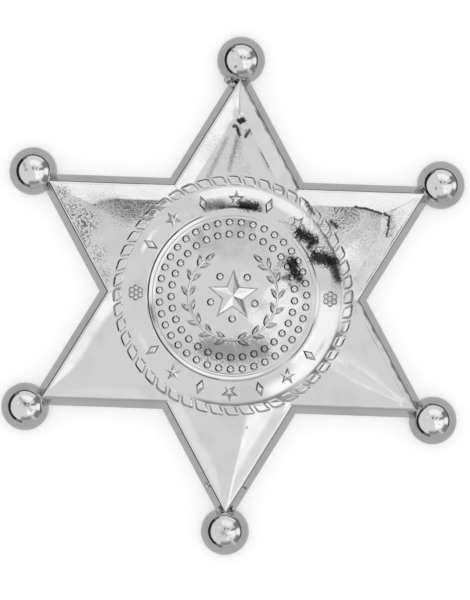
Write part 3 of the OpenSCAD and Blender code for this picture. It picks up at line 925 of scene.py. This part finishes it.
# Where the skin is pitted: x, y, radius of the full effect and of its end (mm), strength
PITTED_SPOTS = (
    (-23.9, 11.4, 0.8, 2.6, 1),
    (-22.1, 10, 1.2, 3, 1),
    (-22.6, 7.4, 0.8, 2.8, 0.95),
    (-20.2, 5.3, 0.6, 2.4, 0.7),
    (-19.1, 2.4, 0.5, 2.2, 0.5),
    (-25.5, 14.3, 0.3, 1.6, 0.9),
    (-18.1, 12.7, 0.6, 2, 0.5),
    (-15.7, 11.4, 0.8, 2.4, 0.4),
    (21.6, 10.1, 1.2, 3.2, 0.4),
    (20.7, 6.2, 1, 3, 0.38),
    (18.8, 2.2, 0.8, 2.8, 0.3),
    (23.4, 12.8, 0.5, 2, 0.35),
)
# Painted dark reflections and shade, drawn as dark strokes into the plating's colour: x and y of both ends,
# half width of the full effect and of its end (mm), strength
PAINTED_DARK_REFLECTIONS = (
    (0.1, 25.5, 0.6, 25.7, 0.3, 0.62, 0.97),
    (-0.7, 24.8, -0.3, 24.7, 0.1, 0.42, 0.95),
    (-0.3, 24.7, 0.1, 23.5, 0.1, 0.4, 0.95),
    (1.5, 24.2, 1, 23.3, 0.1, 0.36, 0.92),
    (-1.7, 22.9, -4.2, 17.2, 0.02, 0.6, 0.36),
    (-0.2, 22.8, -1.2, 18.4, 0.02, 0.55, 0.36),
    (17.4, 13.6, 18.9, 13.4, 0.05, 0.3, 0.95),
    (18.9, 13.4, 21.2, 12.8, 0.08, 0.32, 0.96),
    (21.7, 12.7, 22.5, 12.3, 0.08, 0.36, 0.95),
    (22.5, 12.3, 22.3, 11.1, 0.1, 0.36, 0.95),
    (22.4, 11, 22.1, 9.4, 0.05, 0.32, 0.92),
    (9.5, 9.4, 11.4, 8.5, 0.5, 1.35, 0.97),
    (11.6, 8.6, 10.9, 7.5, 0.2, 0.9, 0.95),
    (11.8, 6.1, 14.2, 5.5, 0.6, 1.45, 0.96),
    (14.5, 5.3, 15.4, 2.8, 0.2, 0.9, 0.8),
    (8.5, 5.2, 8.8, 3.9, 0.5, 1.3, 0.97),
    (8.9, 3.8, 9.6, 2.8, 0.3, 1.05, 0.95),
    (7.8, 3, 8.4, 3.3, 0.2, 0.9, 0.7),
    (14, 11.3, 14.7, 10.7, 0.1, 0.6, 0.9),
    (10.2, 13.9, 11.4, 12.5, 0.05, 0.4, 0.7),
    (-4, 13.1, -2.1, 13.3, 0.3, 1.05, 0.6),
    (1, 13.3, 2.9, 13.1, 0.4, 1.15, 0.94),
    (-3.2, -7.7, 0, -8.3, 1, 2.5, 0.52),
    (0, -8.3, 4.2, -7.6, 1, 2.5, 0.52),
    (21.7, 10.1, 17.4, 1.7, 1.4, 4.4, 0.24),
    (-20.2, 12.9, -16.1, 12.1, 0.5, 2.6, 0.22),
    (-19.9, 13.1, -17.3, 13.3, 0.1, 0.9, 0.45),
    (2.7, -19.1, 2.7, -19.2, 0.05, 0.22, 0.6),
    (-18.8, 0.1, -18.9, -0.4, 0.05, 0.3, 0.7),
    (-1.3, 35.8, -1.2, 35.7, 0.05, 0.3, 0.6),
    (-0.9, 33.4, -0.7, 33.5, 0.05, 0.28, 0.6),
    (29.1, 16.8, 29.1, 16.6, 0.05, 0.22, 0.6),
    (-31.1, 18.2, -30.8, 17.3, 0.05, 0.4, 0.4),
    (-30.4, -16.2, -28.9, -17.7, 0.05, 0.55, 0.4),
    (-0.3, -34.6, 0.9, -35.4, 0.05, 0.5, 0.35),
)


def seen_from_above(tree, place):
    """The place with its height left out."""
    return vector_node(tree, "MULTIPLY", place, (1, 1, 0))[0]


def spots_mask(tree, place, spots):
    """Largest of several round soft spots' strengths at a place, seen from above."""
    flat = seen_from_above(tree, place)
    total = 0.0
    for x, y, inner, outer, strength in spots:
        reach = vector_node(tree, "DISTANCE", flat, (x * MM, y * MM, 0))["Value"]
        spot = ramp(tree, reach, inner * MM, outer * MM, strength, 0.0)
        total = math_node(tree, "MAXIMUM", spot, total)
    return total


def stroke_group():
    """One stroke: the distance from a line between two ends, as a share of the stroke's half width and moved
    by noise, gives a mask with a soft edge."""
    vectors = [(name, "NodeSocketVector", None) for name in ("Place", "Start", "Along")]
    names = ("Inner share", "Half width", "Strength", "Shift")
    numbers = [(name, "NodeSocketFloat", None) for name in names]
    tree, given, result = node_group("Stroke", vectors + numbers, [("Mask", "NodeSocketFloat")])
    put = given.outputs
    along = put["Along"]
    away = vector_node(tree, "SUBTRACT", put["Place"], put["Start"])[0]
    squared = vector_node(tree, "DOT_PRODUCT", along, along)["Value"]
    share = math_node(tree, "DIVIDE", vector_node(tree, "DOT_PRODUCT", away, along)["Value"], squared)
    share = math_node(tree, "MINIMUM", math_node(tree, "MAXIMUM", share, 0.0), 1.0)
    foot = vector_node(tree, "SCALE", along, (0, 0, 0), (0, 0, 0), share)[0]
    reach = vector_node(tree, "DISTANCE", away, foot)["Value"]
    reach = math_node(tree, "ADD", math_node(tree, "DIVIDE", reach, put["Half width"]), put["Shift"])
    feed(tree, result.inputs["Mask"], ramp(tree, reach, put["Inner share"], 1.0, put["Strength"], 0.0))
    return tree


def painted_reflections_mask(tree, place, strokes):
    """Largest of several ragged strokes of painted dark reflection and shade at a place, seen from above."""
    flat = seen_from_above(tree, place)
    stroke = stroke_group()
    shift = math_node(tree, "MULTIPLY_ADD", noise(tree, place, 0.32 * MM, 4.0, 0.75), 2.4, -1.15)
    total = 0.0
    for x, y, end_x, end_y, inner, outer, strength in strokes:
        inputs = {
            "Place": flat,
            "Start": (x * MM, y * MM, 0),
            "Along": ((end_x - x) * MM, (end_y - y) * MM, 0),
            "Inner share": inner / outer,
            "Half width": outer * MM,
            "Strength": strength,
            "Shift": shift,
        }
        total = math_node(tree, "MAXIMUM", group_node(tree, stroke, inputs).outputs[0], total)
    return total


def worn_metal_and_painted_reflections_group():
    """Soft skin of a moulded or drawn metal surface: broad haze, fine specks, pits, ragged dark strokes of
    painted reflection and shade, and small bumps, placed on the object's own coordinates, which Stretch
    draws out along x."""
    numbers = ("Roughness", "Bump size", "Even bumps", "Stretch")
    inputs = [("Clean", "NodeSocketColor", None), ("Hazy", "NodeSocketColor", None)]
    inputs += [(name, "NodeSocketFloat", None) for name in numbers]
    outputs = [("Colour", "NodeSocketColor")]
    outputs += [(name, "NodeSocketFloat") for name in ("Roughness", "Height")]
    tree, given, result = node_group("Metal skin and painted reflections", inputs, outputs)
    put = given.outputs
    drawn = tree.nodes.new("ShaderNodeCombineXYZ")
    for i, value in enumerate((math_node(tree, "DIVIDE", 1.0, put["Stretch"]), 1.0, 1.0)):
        feed(tree, drawn.inputs[i], value)
    place = tree.nodes.new("ShaderNodeTexCoord").outputs["Object"]
    place = vector_node(tree, "MULTIPLY", place, drawn.outputs[0])[0]
    haze = ramp(tree, noise(tree, place, 5 * MM, 3.0), 0.45, 0.75)
    specks = ramp(tree, noise(tree, place, 0.35 * MM), 0.66, 0.78)
    spots = math_node(tree, "MULTIPLY", specks, ramp(tree, noise(tree, place, 3 * MM), 0.5, 0.7))
    dull = math_node(tree, "MAXIMUM", haze, spots)
    pits = ramp(tree, noise(tree, place, 0.3 * MM), 0.47, 0.6)
    pits = math_node(tree, "MULTIPLY", pits, spots_mask(tree, place, PITTED_SPOTS))
    # Pits, painted dark reflections and rough spots belong to the face of the badge, which lies higher than
    # its back
    parts = tree.nodes.new("ShaderNodeSeparateXYZ")
    feed(tree, parts.inputs[0], place)
    face = ramp(tree, parts.outputs[2], 2.36 * MM, 2.5 * MM)
    # Painted dark reflections and shade: strokes that turn the plating's colour near black
    strokes = painted_reflections_mask(tree, place, PAINTED_DARK_REFLECTIONS)
    dark = math_node(tree, "MAXIMUM", math_node(tree, "MULTIPLY", pits, 0.72), strokes)
    dark = math_node(tree, "MULTIPLY", dark, face)
    tone = mix(tree, "RGBA", dull, put["Clean"], put["Hazy"])
    # The pits' dark specks and the painted dark reflections both darken the colour towards black
    feed(tree, result.inputs["Colour"], mix(tree, "RGBA", dark, tone, (0.01, 0.01, 0.01, 1)))
    feed(tree, result.inputs["Roughness"], math_node(tree, "MULTIPLY_ADD", dull, 0.05, put["Roughness"]))
    peel = math_node(tree, "MULTIPLY", spots_mask(tree, place, PEEL_SPOTS), face)
    amount = math_node(tree, "MAXIMUM", put["Even bumps"], peel)
    bumps = noise(tree, place, put["Bump size"])
    feed(tree, result.inputs["Height"], math_node(tree, "MULTIPLY", bumps, amount))
    return tree


def metal_material(name, clean, hazy, roughness, bump_size, bump_depth, even_bumps, stretch):
    """Metal whose colour, roughness and bumps come from the metal skin group, whose colour also holds
    painted dark reflections and shade.
    """
    material = bpy.data.materials.get(name) or bpy.data.materials.new(name)
    tree = blank_tree(material)
    inputs = {
        "Clean": (*clean, 1),
        "Hazy": (*hazy, 1),
        "Roughness": roughness,
        "Bump size": bump_size,
        "Even bumps": even_bumps,
        "Stretch": stretch,
    }
    skin = group_node(tree, bpy.data.node_groups.get("Metal skin and painted reflections") or worn_metal_and_painted_reflections_group(), inputs).outputs
    bump = tree.nodes.new("ShaderNodeBump")
    bump.inputs["Strength"].default_value = 1.0
    bump.inputs["Distance"].default_value = bump_depth
    feed(tree, bump.inputs["Height"], skin["Height"])
    surface = tree.nodes.new("ShaderNodeBsdfPrincipled")
    surface.inputs["Metallic"].default_value = 1.0
    feed(tree, surface.inputs["Base Color"], skin["Colour"])
    feed(tree, surface.inputs["Roughness"], skin["Roughness"])
    feed(tree, surface.inputs["Normal"], bump.outputs["Normal"])
    out = tree.nodes.new("ShaderNodeOutputMaterial")
    feed(tree, out.inputs["Surface"], surface.outputs["BSDF"])
    return material


def plating():
    """The bright plating's material, made on first use."""
    look = bpy.context.scene.badge_plating
    peel = (look.peel_size, look.peel_depth, look.peel_all, 1.0)
    found = bpy.data.materials.get("Bright plating")
    return found or metal_material("Bright plating", look.colour, look.dull, look.roughness, *peel)


# Soft panels of the light tent, by where they show in a mirror: clock angle and half width, angle from
# straight up and half height, softness (degrees), and brightness after the mirror's own loss
PANELS = (
    ("soft box above the top", 12, 34, 43, 13, 5, 0.88),
    ("camera side", 356, 21, 13, 8.5, 2.5, 0.36),
    ("camera", 4, 11, 13, 3.5, 2, 0.07),
    ("dark card, right", 74, 7, 44, 13, 4, 0.20),
    ("lamp stand", 50, 5, 21, 7, 2.5, 0.05),
    ("dark card, upper right", 60, 15, 68, 14, 6, 0.18),
    ("window, right", 92, 13, 68, 9, 5, 0.90),
    ("soft box, lower right", 112, 25, 32, 22, 7, 0.90),
    ("bright patch, right", 124, 10, 12, 5, 3, 0.98),
    ("bright patch, lower right", 142, 16, 36, 12, 6, 0.96),
    ("dark card, lower right", 120, 16, 76, 16, 7, 0.19),
    ("grey wall, below", 172, 26, 63, 11, 7, 0.25),
    ("grey wall, low", 168, 26, 84, 10, 6, 0.35),
    ("table edge, far", 18, 92, 85, 5, 1.5, 0.08),
    ("table edge, left, ends", 262, 74, 80.5, 8.5, 2.5, 0.14),
    ("table edge, left", 266, 52, 80.5, 8.5, 2.5, 0.02),
    ("patch, upper left facets", 300, 4, 35, 4, 2.5, 0.93),
    ("patch, upper right facets", 60, 4, 35, 5, 3, 0.68),
    ("patch, lower right facets", 120, 4, 35, 4, 3, 0.66),
    ("patch, lower facets", 180, 4, 35, 4, 3, 0.68),
    ("patch, lower left facets", 240, 4, 35, 4, 3, 0.74),
    ("bright patch, straight above", 118, 38, 2.9, 1.5, 1.0, 0.86),
    ("lens", 67, 7, 4.0, 0.9, 0.6, 0.02),
)


def soft_panel_group():
    """One soft panel: two smooth steps, over the clock angle and over the angle from straight up, are
    multiplied; inside it the light takes the panel's brightness."""
    names = (
        "Light", "Clock", "Tilt", "At clock", "Half width", "At tilt", "Half height", "Softness", "Panel",
    )
    tree, given, result = node_group(
        "Soft panel", [(n, "NodeSocketFloat", 0.0) for n in names], [("Light", "NodeSocketFloat")]
    )
    put = given.outputs
    off_clock = math_node(tree, "SUBTRACT", put["Clock"], put["At clock"])
    off_clock = math_node(tree, "ABSOLUTE", math_node(tree, "WRAP", off_clock, 180.0, -180.0))
    off_tilt = math_node(tree, "ABSOLUTE", math_node(tree, "SUBTRACT", put["Tilt"], put["At tilt"]))
    masks = []
    for off, half in ((off_clock, "Half width"), (off_tilt, "Half height")):
        outer = math_node(tree, "ADD", put[half], put["Softness"])
        inner = math_node(tree, "SUBTRACT", put[half], put["Softness"])
        masks.append(ramp(tree, off, inner, outer, 1.0, 0.0))
    mask = math_node(tree, "MULTIPLY", *masks)
    tree.links.new(mix(tree, "FLOAT", mask, put["Light"], put["Panel"]), result.inputs["Light"])
    return tree


def make_world(stage, look):
    """Light tent: the direction's clock angle and tilt pick the panels, seen in mirrors only; the rest of
    the scene gets an even light."""
    world = bpy.data.worlds.get("Light tent") or bpy.data.worlds.new("Light tent")
    bpy.context.scene.world = world
    tree = blank_tree(world)
    parts = tree.nodes.new("ShaderNodeSeparateXYZ")
    feed(tree, parts.inputs[0], tree.nodes.new("ShaderNodeTexCoord").outputs["Generated"])
    right, up, out_of_face = parts.outputs
    clock = math_node(tree, "MULTIPLY", math_node(tree, "ARCTAN2", right, up), 180 / math.pi)
    tilt = math_node(tree, "MULTIPLY", math_node(tree, "ARCCOSINE", out_of_face), 180 / math.pi)
    mirror = sum(look.colour) / 3
    panel = soft_panel_group()
    light = stage.tent
    for name, at_clock, half_w, at_tilt, half_h, softness, value in PANELS:
        inputs = {
            "Light": light,
            "Clock": clock,
            "Tilt": tilt,
            "At clock": at_clock,
            "Half width": half_w,
            "At tilt": at_tilt,
            "Half height": half_h,
            "Softness": softness,
            "Panel": value / mirror,
        }
        node = group_node(tree, panel, inputs)
        node.label = name
        light = node.outputs["Light"]
    rays = tree.nodes.new("ShaderNodeLightPath")
    background = tree.nodes.new("ShaderNodeBackground")
    background.inputs["Color"].default_value = (1, 1, 1, 1)
    feed(tree, background.inputs["Strength"], mix(tree, "FLOAT", rays.outputs["Is Glossy Ray"], 1.0, light))
    out = tree.nodes.new("ShaderNodeOutputWorld")
    feed(tree, out.inputs["Surface"], background.outputs[0])


def make_floor(stage):
    """White paper under the badge; mirrors see it as an even grey."""
    half = stage.floor_size / 2
    x, y = np.meshgrid(np.linspace(-half, half, 2), np.linspace(-half, half, 2))
    points = np.stack([x.ravel(), y.ravel(), np.full(4, -0.02 * MM)], -1)
    mesh = bpy.data.meshes.new("floor")
    mesh.from_pydata(points.tolist(), [], [(0, 1, 3, 2)])
    floor = bpy.data.objects.new("floor", mesh)
    bpy.context.scene.collection.objects.link(floor)
    material = bpy.data.materials.new("White paper")
    tree = blank_tree(material)
    paper = tree.nodes.new("ShaderNodeBsdfPrincipled")
    paper.inputs["Base Color"].default_value = (stage.paper, stage.paper, stage.paper, 1)
    paper.inputs["Roughness"].default_value = 0.9
    paper.inputs["Emission Color"].default_value = (1, 1, 1, 1)
    paper.inputs["Emission Strength"].default_value = stage.paper_glow
    even = tree.nodes.new("ShaderNodeEmission")
    even.inputs["Strength"].default_value = stage.floor_seen
    rays = tree.nodes.new("ShaderNodeLightPath")
    either = tree.nodes.new("ShaderNodeMixShader")
    for i, value in enumerate((rays.outputs["Is Glossy Ray"], paper.outputs[0], even.outputs[0])):
        feed(tree, either.inputs[i], value)
    out = tree.nodes.new("ShaderNodeOutputMaterial")
    feed(tree, out.inputs["Surface"], either.outputs[0])
    mesh.materials.append(material)


def make_camera(stage):
    """Long lens straight above, turned a little, whose frame is the picture's height at the badge."""
    data = bpy.data.cameras.new("camera")
    camera = bpy.data.objects.new("camera", data)
    bpy.context.scene.collection.objects.link(camera)
    data.sensor_fit = "VERTICAL"
    data.sensor_height = 36
    seen = stage.pixel * stage.rows
    data.lens = data.sensor_height * (stage.distance - stage.sharp_z) / seen
    data.clip_start, data.clip_end = 0.01, 20
    c, s = math.cos(stage.turn), math.sin(stage.turn)
    camera.location = (
        c * stage.shift_right + s * stage.shift_down,
        s * stage.shift_right - c * stage.shift_down,
        stage.distance,
    )
    camera.rotation_euler = (0, 0, stage.turn)
    bpy.context.scene.camera = camera


class BADGE_OT_star_shell(bpy.types.Operator):
    """Makes the hollow star with its wall, facets and plateau"""

    bl_idname = "badge.star_shell"
    bl_label = "Star Shell"

    def execute(self, context):
        add_piece("star_shell", star_shell_part(context.scene.badge_star))
        return {"FINISHED"}


class BADGE_OT_ball_tips(bpy.types.Operator):
    """Makes the six hollow half balls on the tips"""

    bl_idname = "badge.ball_tips"
    bl_label = "Ball Tips"

    def execute(self, context):
        add_piece("ball_tips", ball_tips_part(context.scene.badge_star))
        return {"FINISHED"}


class BADGE_OT_medallion(bpy.types.Operator):
    """Makes the medallion's body and its rope border"""

    bl_idname = "badge.medallion"
    bl_label = "Medallion"

    def execute(self, context):
        scene = context.scene
        medal, star = scene.badge_medallion, scene.badge_star
        add_piece("medallion", medallion_part(medal))
        rope = rope_part(medal, scene.badge_ornaments, star)
        add_piece("rope_border", rope)
        return {"FINISHED"}


class BADGE_OT_ornaments(bpy.types.Operator):
    """Makes the ornaments on the medallion"""

    bl_idname = "badge.ornaments"
    bl_label = "Ornaments"

    def execute(self, context):
        medal, ornament = context.scene.badge_medallion, context.scene.badge_ornaments
        makers = {
            "band_ornaments": band_ornaments_part,
            "pellets": pellets_part,
            "branches": branches_part,
            "middle_star": middle_star_part,
        }
        for name, maker in makers.items():
            add_piece(name, maker(medal, ornament))
        return {"FINISHED"}


class BADGE_OT_moulding_marks(bpy.types.Operator):
    """Makes the studs on the back and the moulding's small faults"""

    bl_idname = "badge.moulding_marks"
    bl_label = "Studs and Moulding Marks"

    def execute(self, context):
        add_piece("pin_studs", studs_part(context.scene.badge_back))
        add_piece("moulding_marks", flaws_part())
        return {"FINISHED"}


class BADGE_OT_pin(bpy.types.Operator):
    """Gives the pin on the back its steel"""

    bl_idname = "badge.pin"
    bl_label = "Pin"

    def execute(self, context):
        look = context.scene.badge_plating
        hazy = [c * 0.85 for c in look.steel]
        grain = (look.grain_size, look.grain_depth, 1.0, look.grain_stretch)
        steel = metal_material("Pin steel", look.steel, hazy, look.steel_roughness, *grain)
        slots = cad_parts["brooch_pin"].material_slots
        if not slots:
            raise RuntimeError("the pin has no material slot")
        for slot in slots:
            slot.material = steel
        return {"FINISHED"}


class BADGE_OT_stage(bpy.types.Operator):
    """Makes the floor, the light tent and the camera"""

    bl_idname = "badge.stage"
    bl_label = "Stage"

    def execute(self, context):
        scene = context.scene
        scene.view_settings.view_transform = "Standard"
        make_floor(scene.badge_stage)
        make_world(scene.badge_stage, scene.badge_plating)
        make_camera(scene.badge_stage)
        return {"FINISHED"}


class BADGE_PT_panel(bpy.types.Panel):
    """Lists the badge's pieces and sizes in the sidebar"""

    bl_idname = "BADGE_PT_panel"
    bl_label = "Sheriff Star Badge"
    bl_space_type = "VIEW_3D"
    bl_region_type = "UI"
    bl_category = "Badge"

    def draw(self, context):
        for operator in OPERATORS:
            self.layout.operator(operator.bl_idname)
        for name, (group, text) in GROUPS.items():
            box = self.layout.box()
            box.label(text=text)
            for prop in group.__annotations__:
                box.prop(getattr(context.scene, name), prop)


GROUPS = {
    "badge_star": (StarSizes, "Star"),
    "badge_medallion": (MedallionSizes, "Medallion"),
    "badge_ornaments": (OrnamentSizes, "Ornaments"),
    "badge_back": (BackSizes, "Back"),
    "badge_plating": (PlatingLook, "Finish"),
    "badge_stage": (StageLook, "Stage"),
}
OPERATORS = (
    BADGE_OT_star_shell,
    BADGE_OT_ball_tips,
    BADGE_OT_medallion,
    BADGE_OT_ornaments,
    BADGE_OT_moulding_marks,
    BADGE_OT_pin,
    BADGE_OT_stage,
)


def register():
    for name, (group, _) in GROUPS.items():
        bpy.utils.register_class(group)
        setattr(bpy.types.Scene, name, PointerProperty(type=group))
    for cls in (*OPERATORS, BADGE_PT_panel):
        bpy.utils.register_class(cls)


def unregister():
    for cls in (BADGE_PT_panel, *reversed(OPERATORS)):
        bpy.utils.unregister_class(cls)
    for name, (group, _) in GROUPS.items():
        delattr(bpy.types.Scene, name)
        bpy.utils.unregister_class(group)


def main():
    register()
    bpy.ops.badge.star_shell()
    bpy.ops.badge.ball_tips()
    bpy.ops.badge.medallion()
    bpy.ops.badge.ornaments()
    bpy.ops.badge.moulding_marks()
    bpy.ops.badge.pin()
    bpy.ops.badge.stage()


if __name__ == "__main__":
    main()
